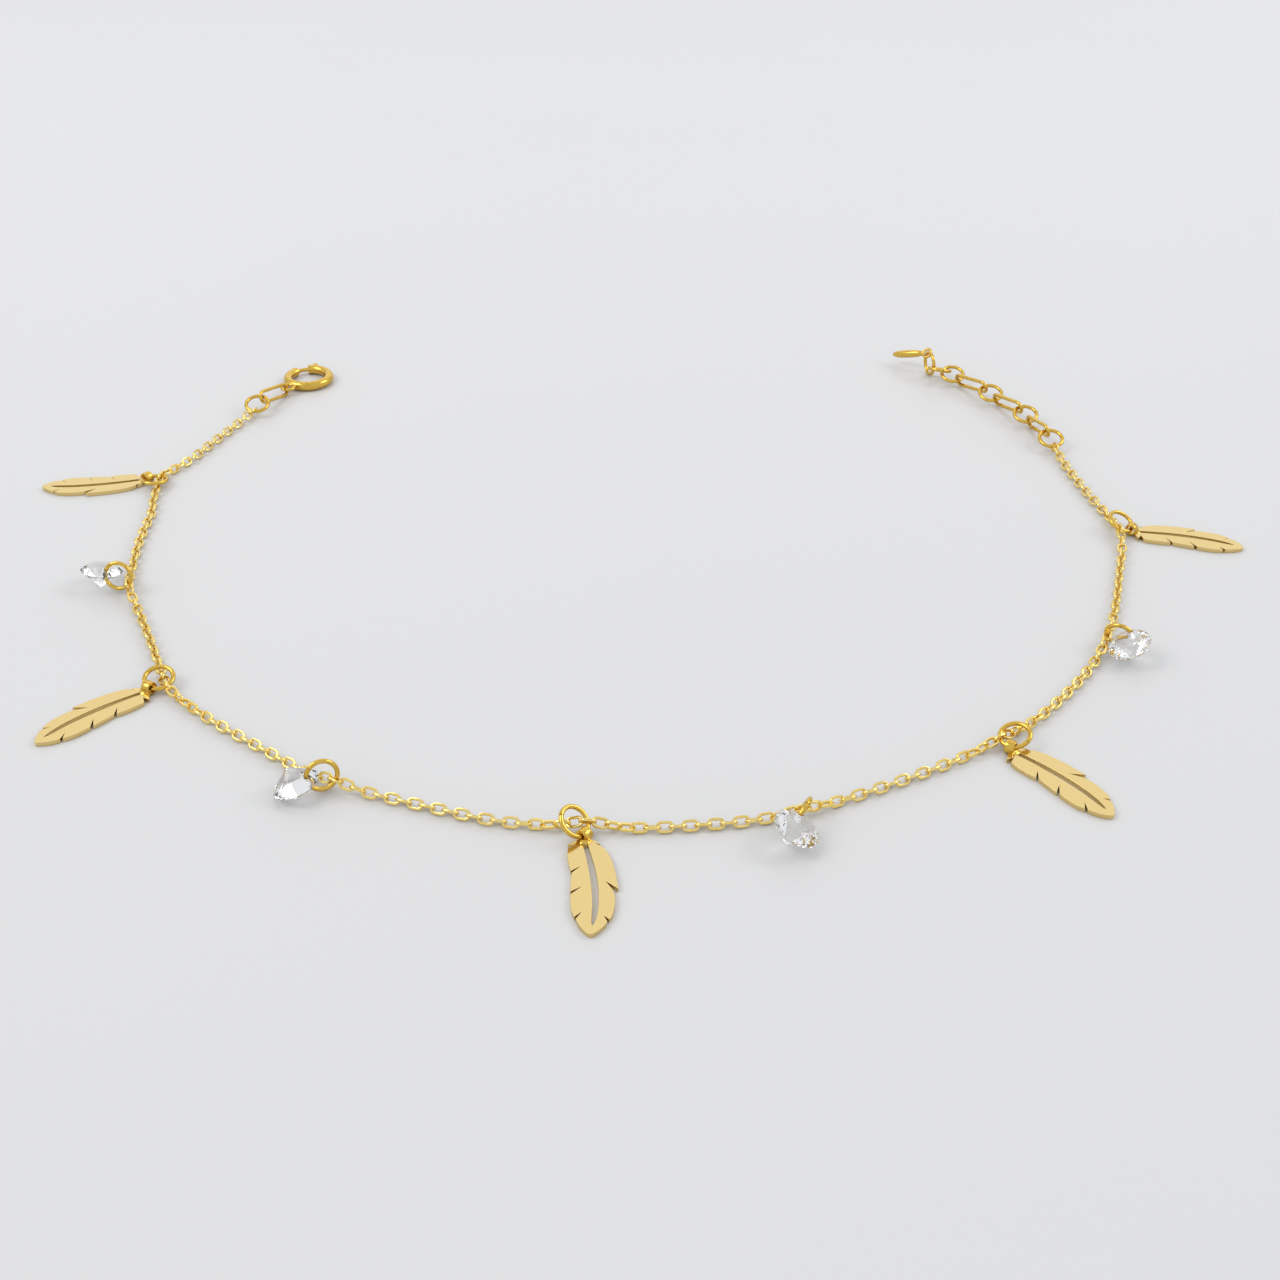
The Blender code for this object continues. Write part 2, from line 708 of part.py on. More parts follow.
def add_clasp(shop):
    """Makes the clasp's bored ring with its eye, and the bolt on the joint."""
    centre = clasp_frame()
    middle = (CLASP_OUTER - CLASP_TUBE) / 2
    body_line = arc_points(middle, MOUTH_TO, MOUTH_FROM + 2 * pi, 31)
    body = place(add_object("clasp_ring", sweep_mesh("clasp_body", body_line, CLASP_TUBE / 2, TUBE_SIDES, False), shop.gold), centre)
    eye_line = circle_points((EYE_OUTER - EYE_WIRE) / 2, 14)
    eye = place(add_object("clasp_eye", sweep_mesh("clasp_eye", eye_line, EYE_WIRE / 2, WIRE_SIDES, True), shop.gold), eye_centre())
    boolean(body, eye, "UNION")
    bore = place(add_object("clasp_bore", sweep_mesh("clasp_bore", circle_points(middle, 32), CLASP_BORE / 2, BORE_SIDES, True), None), centre)
    boolean(body, bore, "DIFFERENCE")
    slot_radius = TRIGGER_STEM / 2 + RUN_GAP
    play = slot_radius / middle
    slot_line = arc_points(middle + CLASP_TUBE / 2, TRIGGER_TURN - TRIGGER_TRAVEL - play * 0.4, TRIGGER_TURN + play * 0.4, 9)
    slot = sweep_mesh("clasp_slot", slot_line, slot_radius, 8, False)
    boolean(body, place(add_object("clasp_slot", slot, None), centre), "DIFFERENCE")

    rod_radius = CLASP_BORE / 2 - RUN_GAP
    rod = sweep_mesh("clasp_rod", arc_points(middle, BOLT_TAIL, BOLT_TIP, 13), rod_radius, BORE_SIDES, False)
    bolt = place(add_object("clasp_bolt", rod, shop.gold), centre)
    out = heading_of(TRIGGER_TURN)
    knob_reach = CLASP_OUTER / 2 + TRIGGER_REACH - TRIGGER_KNOB / 2
    stem = sweep_mesh("clasp_stem", [out * middle, out * (knob_reach + TRIGGER_KNOB * 0.1)], TRIGGER_STEM / 2, 8, False)
    boolean(bolt, place(add_object("clasp_stem", stem, shop.gold), centre), "UNION")
    ball = bmesh.new()
    bmesh.ops.create_uvsphere(ball, u_segments=10, v_segments=7, radius=TRIGGER_KNOB / 2)
    knob = bpy.data.meshes.new("clasp_knob")
    ball.to_mesh(knob)
    ball.free()
    boolean(bolt, place(add_object("clasp_knob", knob, shop.gold), centre + out * knob_reach), "UNION")


# Ends


def lean_normal():
    """Returns the direction that the leaning rings face."""
    return Vector((0, -sin(RING_LEAN), cos(RING_LEAN)))


def reach_towards(centre, normal, goal):
    """Returns the point of a ring's wire that lies nearest to a goal."""
    way = goal - centre
    flat = way - normal * way.dot(normal)
    return centre + flat.normalized() * RING_RADIUS


def hook_distance():
    """Returns the distance between two wires that a long link joins."""
    return LINK_LENGTH - 3 * RING_WIRE - 2 * THREAD_GAP


def next_centre(route, start, centre, height):
    """Returns how far along a route the next ring lies, one long link on."""
    near, far = start, route.length
    normal = lean_normal()
    for _ in range(40):
        middle = (near + far) / 2
        spot = route.at(middle)
        goal = Vector((spot.x, spot.y, height))
        span = reach_towards(goal, normal, centre) - reach_towards(centre, normal, goal)
        if span.length < hook_distance() or middle - start < RING_OUTER:
            near = middle
        else:
            far = middle
    return (near + far) / 2


def add_left_end(shop, chain):
    """Joins the chain's start to the clasp's eye by a ring and a long link."""
    normal = lean_normal()
    start = chain.route.at(0.0)
    eye = eye_centre()
    centre, hook = left_ring()
    way = heading_of(CLASP_WAY)
    shop.ring("end_ring", centre, normal, way)
    eye_radius = (EYE_OUTER - EYE_WIRE) / 2
    eye_hook = eye + Vector((hook.x - eye.x, hook.y - eye.y, 0)).normalized() * eye_radius
    shop.long_link("end_link", hook, eye_hook)
    return centre, normal, reach_towards(centre, normal, start), (eye_hook - hook).length


def add_extender(shop, chain):
    """Joins leaning rings by long links along the extender's route."""
    route = Route([point(x, y) for x, y in EXTENDER_ROUTE])
    normal = lean_normal()
    distance = 0.0
    centres = []
    for number in range(EXTENDER_RINGS):
        spot = route.at(distance)
        centre = Vector((spot.x, spot.y, RING_HEIGHT))
        shop.ring("extender_ring_%d" % (number + 1), centre, normal, Vector((1, 0, 0)))
        centres.append(centre)
        if number < EXTENDER_RINGS - 1:
            distance = next_centre(route, distance, centre, RING_HEIGHT)
    for number, (first, second) in enumerate(zip(centres, centres[1:])):
        shop.long_link(
            "extender_link_%d" % (number + 1),
            reach_towards(first, normal, second),
            reach_towards(second, normal, first),
        )
    return centres, normal


def add_last_rings(shop, last):
    """Adds the ring seen on edge, the upright ring and the small drop."""
    across = Vector(BAR_RING_ACROSS)
    normal = across.cross(Vector(BAR_RING_ALONG)).normalized()
    shop.ring("bar_ring", last + point(*BAR_RING_OFFSET), normal, across)
    upright = Vector((last.x, last.y, RING_OUTER / 2 + REST_GAP)) + point(*UPRIGHT_RING_OFFSET)
    shop.ring("upright_ring", upright, heading_of(UPRIGHT_RING_TURN), Vector((0, 0, 1)))

    back = heading_of(UPRIGHT_RING_TURN + pi / 2)
    spoke = back * cos(TAG_EYE_TURN) + Vector((0, 0, sin(TAG_EYE_TURN)))
    eye_middle = (TAG_EYE_OUTER - TAG_EYE_WIRE) / 2
    hook = upright + spoke * RING_RADIUS
    tip = Vector((upright.x, upright.y, TAG_WIDTH / 2 + REST_GAP)) + point(*TAG_REACH)
    aim = (tip - hook).normalized()
    centre = hook + aim * (eye_middle - RING_WIRE / 2 - TAG_EYE_WIRE / 2 - THREAD_GAP)
    wire = Vector((0, 0, cos(TAG_EYE_TURN))) - back * sin(TAG_EYE_TURN)
    eye_normal = (wire - aim * wire.dot(aim)).normalized()
    profile = [
        (0.0, 0.0),
        (0.30, 0.06),
        (0.46, 0.20),
        (0.50, 0.40),
        (0.50, 0.62),
        (0.44, 0.82),
        (0.28, 0.95),
        (0.0, 1.0),
    ]
    body = bmesh.new()
    rings = []
    sides = 12
    for radius, height in profile:
        if radius == 0.0:
            rings.append([body.verts.new(Vector((0, 0, height * TAG_LENGTH)))])
            continue
        turn = [2 * pi * i / sides for i in range(sides)]
        rings.append([body.verts.new(Vector((radius * TAG_WIDTH * cos(a), radius * TAG_WIDTH * sin(a), height * TAG_LENGTH))) for a in turn])
    for near, far in zip(rings, rings[1:]):
        for i in range(sides):
            nxt = (i + 1) % sides
            if len(near) == 1:
                body.faces.new((near[0], far[nxt], far[i]))
            elif len(far) == 1:
                body.faces.new((near[i], near[nxt], far[0]))
            else:
                body.faces.new((near[i], near[nxt], far[nxt], far[i]))
    bmesh.ops.recalc_face_normals(body, faces=body.faces)
    mesh = bpy.data.meshes.new("tag_body")
    body.to_mesh(mesh)
    body.free()
    tag = add_object("end_drop", mesh, shop.gold)
    place(tag, centre + aim * (eye_middle - TAG_EYE_WIRE * 0.25), axes(aim, Vector((0, 0, 1))))
    eye = sweep_mesh("tag_eye", circle_points(eye_middle, 14), TAG_EYE_WIRE / 2, WIRE_SIDES, True)
    boolean(tag, place(add_object("tag_eye", eye, shop.gold), centre, axes(eye_normal, aim)), "UNION")


def main():
    """Builds the whole bracelet."""
    for old in list(bpy.data.objects):
        bpy.data.objects.remove(old)
    shop = Workshop()
    chain = Chain()
    drills = []
    number = 0
    feather_rings = [hang(chain, pose.ring) for pose in FEATHERS]
    stone_rings = [hang(chain, pose.ring) for pose in STONES]
    for ring in feather_rings + stone_rings:
        number += 1
        shop.ring("charm_ring_%d" % number, ring.centre, ring.normal, ring.out)
        drills.append((ring.centre, ring.normal, ring.out))
    for index, (pose, ring) in enumerate(zip(FEATHERS, feather_rings)):
        add_feather(shop, index + 1, pose, ring)
    for index, (pose, ring) in enumerate(zip(STONES, stone_rings)):
        add_stone(shop, index + 1, pose, ring)

    add_clasp(shop)
    left_centre, left_normal, left_hook, _ = add_left_end(shop, chain)
    centres, right_normal = add_extender(shop, chain)
    right_hook = reach_towards(centres[0], right_normal, chain.route.at(chain.route.length))
    add_last_rings(shop, centres[-1])
    chain.lifts.append((END_MARGIN, left_hook.z))
    chain.lifts.append((chain.route.length - END_MARGIN, right_hook.z))
    drills.append((left_centre, left_normal, Vector((1, 0, 0))))
    drills.append((centres[0], right_normal, Vector((1, 0, 0))))

    middle = chain.route.length * 0.555
    spans = (("chain_left", 0.0, middle - HALF_GAP), ("chain_right", middle + HALF_GAP, chain.route.length))
    for name, start, end in spans:
        tube = chain_tube(name, [chain.at(mark) for mark in chain.stations(start, end)], shop.gold)
        for index, (centre, normal, start_way) in enumerate(drills):
            near = min((chain.at(start + (end - start) * i / 200) - centre).length for i in range(201))
            if near < RING_OUTER / 2 + CHAIN_WIDTH:
                drill = shop.ring_drill("%s_drill_%d" % (name, index), centre, normal, start_way)
                boolean(tube, drill, "DIFFERENCE")

    root = bpy.data.objects.new("bracelet", None)
    bpy.context.scene.collection.objects.link(root)
    root.location = point(*ORIGIN_OFFSET)
    for made in bpy.data.objects:
        if made is not root:
            made.parent = root


if __name__ == "__main__":
    main()
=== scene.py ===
"""Dresses the feather and stone bracelet and sets it in a soft, pale studio."""

import json
import logging
import math
from dataclasses import dataclass, field
from enum import Enum

import bmesh
import bpy
import numpy as np
from mathutils import Matrix, Vector

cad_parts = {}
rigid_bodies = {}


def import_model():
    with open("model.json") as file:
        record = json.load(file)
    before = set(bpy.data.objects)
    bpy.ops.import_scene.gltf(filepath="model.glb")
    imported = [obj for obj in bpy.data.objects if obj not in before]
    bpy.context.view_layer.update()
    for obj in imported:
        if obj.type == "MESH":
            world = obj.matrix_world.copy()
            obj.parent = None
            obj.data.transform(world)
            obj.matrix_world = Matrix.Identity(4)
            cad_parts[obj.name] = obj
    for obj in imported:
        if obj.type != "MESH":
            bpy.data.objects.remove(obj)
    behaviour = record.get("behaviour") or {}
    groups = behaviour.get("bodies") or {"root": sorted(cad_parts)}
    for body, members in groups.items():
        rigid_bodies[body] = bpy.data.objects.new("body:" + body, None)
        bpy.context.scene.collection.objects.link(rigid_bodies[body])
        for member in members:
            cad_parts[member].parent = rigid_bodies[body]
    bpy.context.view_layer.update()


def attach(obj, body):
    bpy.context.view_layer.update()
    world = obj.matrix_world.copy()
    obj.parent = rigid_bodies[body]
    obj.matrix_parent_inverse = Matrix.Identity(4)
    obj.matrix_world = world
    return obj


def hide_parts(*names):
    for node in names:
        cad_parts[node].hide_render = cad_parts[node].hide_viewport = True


LOG = logging.getLogger("bracelet")
MM = 0.001
UP = Vector((0.0, 0.0, 1.0))
SHARP_ANGLE = 40.0
WIRE_SIDES = 14
MARK_DETAIL = 6.0
MARK_DEPTH = 0.01 * MM
TONE_FROM, TONE_TO = 0.28, 0.55
ROUGH_FROM, ROUGH_TO = 0.3, 0.7
CLOUD_SCALE = 700.0
CLOUD_ROUGHNESS = 0.03
FLOOR_MARK_SCALE = 60.0
FLOOR_ROUGHNESS_SPREAD = 0.04
FLOOR_INDEX = 1.33


class Slot(Enum):
    """The record's material slots, named for the made pieces."""

    GOLD = "gold"
    PALE_GOLD = "pale_gold"


class Body(Enum):
    """The bodies that pieces ride on."""

    BRACELET = "bracelet"
    BOLT = "bolt"


@dataclass(frozen=True)
class GoldFinish:
    """Polished or satin gold.

    Args:
        name: Name of the material.
        colour: Colour of the metal face on.
        deep: Colour in the thinnest hollows of the finish.
        roughness: Middle roughness.
        spread: How far the roughness wanders.
        grain: Size of the finish's marks, per metre.
        bump: Height of the marks, as a share.
    """

    name: str
    colour: tuple[float, float, float]
    deep: tuple[float, float, float]
    roughness: float
    spread: float
    grain: float
    bump: float

    def build(self) -> bpy.types.Material:
        """Makes the material.

        Returns:
            The material with its nodes.
        """
        made = bpy.data.materials.new(self.name)
        made.use_nodes = True
        nodes, links = made.node_tree.nodes, made.node_tree.links
        shader = nodes["Principled BSDF"]
        shader.inputs["Metallic"].default_value = 1.0
        place = nodes.new("ShaderNodeTexCoord")
        marks = nodes.new("ShaderNodeTexNoise")
        marks.inputs["Scale"].default_value = self.grain
        marks.inputs["Detail"].default_value = MARK_DETAIL
        links.new(place.outputs["Object"], marks.inputs["Vector"])
        tone = nodes.new("ShaderNodeMix")
        tone.data_type = "RGBA"
        tone.inputs[6].default_value = (*self.deep, 1.0)
        tone.inputs[7].default_value = (*self.colour, 1.0)
        ramp = nodes.new("ShaderNodeMapRange")
        ramp.inputs["From Min"].default_value = TONE_FROM
        ramp.inputs["From Max"].default_value = TONE_TO
        links.new(marks.outputs["Fac"], ramp.inputs["Value"])
        links.new(ramp.outputs["Result"], tone.inputs[0])
        links.new(tone.outputs[2], shader.inputs["Base Color"])
        rough = nodes.new("ShaderNodeMapRange")
        rough.inputs["From Min"].default_value = ROUGH_FROM
        rough.inputs["From Max"].default_value = ROUGH_TO
        rough.inputs["To Min"].default_value = self.roughness - self.spread
        rough.inputs["To Max"].default_value = self.roughness + self.spread
        links.new(marks.outputs["Fac"], rough.inputs["Value"])
        links.new(rough.outputs["Result"], shader.inputs["Roughness"])
        bump = nodes.new("ShaderNodeBump")
        bump.inputs["Strength"].default_value = self.bump
        bump.inputs["Distance"].default_value = MARK_DEPTH
        links.new(marks.outputs["Fac"], bump.inputs["Height"])
        links.new(bump.outputs["Normal"], shader.inputs["Normal"])
        return made


@dataclass(frozen=True)
class CrystalFinish:
    """Clear cut stone.

    Args:
        name: Name of the material.
        tint: Colour of the stone.
        index: Index of refraction.
    """

    name: str = "clear_stone"
    tint: tuple[float, float, float] = (0.99, 0.995, 1.0)
    index: float = 1.5

    def build(self) -> bpy.types.Material:
        """Makes the material.

        Returns:
            The material with its nodes.
        """
        made = bpy.data.materials.new(self.name)
        made.use_nodes = True
        nodes, links = made.node_tree.nodes, made.node_tree.links
        shader = nodes["Principled BSDF"]
        shader.inputs["Transmission Weight"].default_value = 1.0
        shader.inputs["IOR"].default_value = self.index
        place = nodes.new("ShaderNodeTexCoord")
        cloud = nodes.new("ShaderNodeTexNoise")
        cloud.inputs["Scale"].default_value = CLOUD_SCALE
        links.new(place.outputs["Object"], cloud.inputs["Vector"])
        polish = nodes.new("ShaderNodeMapRange")
        polish.inputs["To Min"].default_value = 0.0
        polish.inputs["To Max"].default_value = CLOUD_ROUGHNESS
        links.new(cloud.outputs["Fac"], polish.inputs["Value"])
        links.new(polish.outputs["Result"], shader.inputs["Roughness"])
        tone = nodes.new("ShaderNodeMix")
        tone.data_type = "RGBA"
        tone.inputs[6].default_value = (*self.tint, 1.0)
        tone.inputs[7].default_value = (1.0, 1.0, 1.0, 1.0)
        links.new(cloud.outputs["Fac"], tone.inputs[0])
        links.new(tone.outputs[2], shader.inputs["Base Color"])
        return made


@dataclass(frozen=True)
class FloorFinish:
    """Plain pale surface with a faint gloss."""

    name: str = "pale_floor"
    colour: tuple[float, float, float] = (0.66, 0.66, 0.66)
    roughness: float = 0.3

    def build(self) -> bpy.types.Material:
        """Makes the material.

        Returns:
            The material with its nodes.
        """
        made = bpy.data.materials.new(self.name)
        made.use_nodes = True
        nodes, links = made.node_tree.nodes, made.node_tree.links
        shader = nodes["Principled BSDF"]
        shader.inputs["Base Color"].default_value = (*self.colour, 1.0)
        shader.inputs["IOR"].default_value = FLOOR_INDEX
        marks = nodes.new("ShaderNodeTexNoise")
        marks.inputs["Scale"].default_value = FLOOR_MARK_SCALE
        rough = nodes.new("ShaderNodeMapRange")
        rough.inputs["To Min"].default_value = self.roughness - FLOOR_ROUGHNESS_SPREAD
        rough.inputs["To Max"].default_value = self.roughness + FLOOR_ROUGHNESS_SPREAD
        links.new(marks.outputs["Fac"], rough.inputs["Value"])
        links.new(rough.outputs["Result"], shader.inputs["Roughness"])
        return made


@dataclass
class Finishes:
    """Every finish of the bracelet, built once."""

    chain: bpy.types.Material
    ring: bpy.types.Material
    feather: bpy.types.Material
    stone: bpy.types.Material

    @classmethod
    def build(cls) -> "Finishes":
        """Returns the built set."""
        chain = GoldFinish(
            name="chain_gold",
            colour=(0.92, 0.71, 0.25),
            deep=(0.84, 0.60, 0.16),
            roughness=0.12,
            spread=0.04,
            grain=3000.0,
            bump=0.12,
        )
        ring = GoldFinish(
            name="ring_gold",
            colour=(0.74, 0.49, 0.10),
            deep=(0.65, 0.40, 0.06),
            roughness=0.18,
            spread=0.05,
            grain=2400.0,
            bump=0.15,
        )
        feather = GoldFinish(
            name="feather_gold",
            colour=(0.77, 0.59, 0.26),
            deep=(0.72, 0.53, 0.21),
            roughness=0.15,
            spread=0.04,
            grain=9000.0,
            bump=0.06,
        )
        return cls(
            chain=chain.build(),
            ring=ring.build(),
            feather=feather.build(),
            stone=CrystalFinish().build(),
        )


def heading(angle: float) -> Vector:
    """Returns the level unit vector at an angle from +X."""
    return Vector((math.cos(angle), math.sin(angle), 0.0))


def turn_to(z_axis: Vector, x_hint: Vector) -> Matrix:
    """Returns the 4x4 turn whose Z is z_axis and whose X is nearest to x_hint."""
    z = z_axis.normalized()
    x = (x_hint - z * x_hint.dot(z)).normalized()
    return Matrix((x, z.cross(x), z)).transposed().to_4x4()


def mesh_of(name: str, form: bmesh.types.BMesh) -> bpy.types.Mesh:
    """Closes a bmesh into a mesh with its faces outwards."""
    bmesh.ops.recalc_face_normals(form, faces=form.faces)
    mesh = bpy.data.meshes.new(name)
    form.to_mesh(mesh)
    form.free()
    return mesh


def dress(
    name: str,
    mesh: bpy.types.Mesh,
    finish: bpy.types.Material,
    slot: Slot,
    body: Body,
    nodes: tuple[str, ...],
    sharp: float = SHARP_ANGLE,
) -> bpy.types.Object:
    """Links a finished piece, seats it on its body and lets it stand for CAD nodes.

    Args:
        name: Name of the piece.
        mesh: Its mesh, in the frame's own place.
        finish: Its material.
        slot: The record's slot; not used.
        body: The body that it rides on.
        nodes: CAD nodes that it stands for.
        sharp: Angle above which an edge stays sharp, in degrees.

    Returns:
        The linked object.
    """
    piece = bpy.data.objects.new(name, mesh)
    bpy.context.scene.collection.objects.link(piece)
    mesh.materials.clear()
    mesh.materials.append(finish)
    mesh.shade_smooth()
    mesh.set_sharp_from_angle(angle=math.radians(sharp))
    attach(piece, body.value)
    if nodes:
        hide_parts(*nodes)
    LOG.info("%s: %d faces for %s", name, len(mesh.polygons), ", ".join(nodes) or "itself")
    return piece


def sweep(
    form: bmesh.types.BMesh,
    line: list[Vector],
    section: list[tuple[float, float]],
    closed: bool,
    up: Vector,
    capped: bool = True,
) -> None:
    """Sweeps a section along a flat line.

    Args:
        form: The bmesh that takes the faces.
        line: Points of the middle line.
        section: Points of the section, sideways and along up.
        closed: Whether the line joins its own start.
        up: The normal of the line's plane.
        capped: Whether open ends are closed.
    """
    count, rings = len(line), []
    for index, here in enumerate(line):
        before = line[index - 1] if closed or index else here
        after = line[(index + 1) % count] if closed or index < count - 1 else here
        along = (after - before).normalized()
        side = along.cross(up).normalized()
        top = side.cross(along)
        rings.append([form.verts.new(here + side * a + top * b) for a, b in section])
    for index in range(count if closed else count - 1):
        near, far = rings[index], rings[(index + 1) % count]
        for step in range(len(section)):
            nxt = (step + 1) % len(section)
            form.faces.new((near[step], near[nxt], far[nxt], far[step]))
    if not closed and capped:
        form.faces.new(rings[0])
        form.faces.new(rings[-1])


def round_section(radius: float, sides: int) -> list[tuple[float, float]]:
    """Returns a round wire section."""
    steps = [2 * math.pi * (i + 0.5) / sides for i in range(sides)]
    return [(radius * math.cos(a), radius * math.sin(a)) for a in steps]


def cut_section(wide: float, high: float, sides: int, power: float) -> list[tuple[float, float]]:
    """Returns a section flattened on its sides, as a cut link's wire is."""
    points = []
    for index in range(sides):
        angle = 2 * math.pi * (index + 0.5) / sides
        c, s = math.cos(angle), math.sin(angle)
        points.append(
            (
                wide / 2 * math.copysign(abs(c) ** power, c),
                high / 2 * math.copysign(abs(s) ** power, s),
            )
        )
    return points


def circle(radius: float, count: int) -> list[Vector]:
    """Returns points around a circle in XY."""
    return [heading(2 * math.pi * i / count) * radius for i in range(count)]


def arc(radius: float, start: float, end: float, count: int) -> list[Vector]:
    """Returns points along an arc in XY."""
    return [heading(start + (end - start) * i / (count - 1)) * radius for i in range(count)]


def stadium(length: float, width: float, steps: int, runs: int) -> list[Vector]:
    """Returns points around a long link's middle line, long in X."""
    radius = width / 2
    half = length / 2 - radius
    line: list[Vector] = []
    for side in (1, -1):
        turned = [heading(side * (-math.pi / 2) + math.pi * i / steps) * radius for i in range(steps + 1)]
        line += [Vector((side * half, 0, 0)) + p for p in turned]
        start, end = line[-1], Vector((-side * half, line[-1].y, 0))
        line += [start.lerp(end, i / runs) for i in range(1, runs)]
    return line


def node_points(node: str) -> np.ndarray:
    """Returns the vertices of a CAD node."""
    mesh = bpy.data.objects[node].data
    flat = np.empty(len(mesh.vertices) * 3)
    mesh.vertices.foreach_get("co", flat)
    return flat.reshape(-1, 3)


def flat_frame(node: str) -> tuple[Vector, Vector, Vector]:
    """Reads where a ring or link lies.

    Args:
        node: A CAD node with a flat middle line.

    Returns:
        Its centre, its normal and its longest direction.
    """
    points = np.unique(np.round(node_points(node), 8), axis=0)
    centre = points.mean(0)
    _, _, rows = np.linalg.svd(points - centre)
    return Vector(centre), Vector(rows[2]), Vector(rows[0])


class Route:
    """A smooth line read by the distance along it."""

    step = 0.3 * MM

    def __init__(self, points: list[Vector]) -> None:
        """Builds the dense line.

        Args:
            points: The route's own points.
        """
        self.line: list[Vector] = []
        for index in range(len(points) - 1):
            b, c = points[index], points[index + 1]
            a = points[index - 1] if index else b * 2 - c
            d = points[index + 2] if index + 2 < len(points) else c * 2 - b
            pieces = max(2, math.ceil((c - b).length / self.step))
            for piece in range(pieces):
                t = piece / pieces
                curve = b * 2 + (c - a) * t + (a * 2 - b * 5 + c * 4 - d) * t * t
                self.line.append(0.5 * (curve + (b * 3 - a - c * 3 + d) * t**3))
        self.line.append(points[-1])
        steps = [(q - p).length for p, q in zip(self.line, self.line[1:])]
        self.marks = np.concatenate([[0.0], np.cumsum(steps)])
        self.length = float(self.marks[-1])

    def at(self, distance: float) -> Vector:
        """Returns the point at a distance."""
        distance = min(max(distance, 0.0), self.length)
        index = min(int(np.searchsorted(self.marks, distance, side="right")) - 1, len(self.line) - 2)
        share = (distance - self.marks[index]) / (self.marks[index + 1] - self.marks[index])
        return self.line[index].lerp(self.line[index + 1], float(share))


@dataclass
class Thread:
    """A ring that passes through one link of the chain."""

    share: float
    lift: float
    node: str


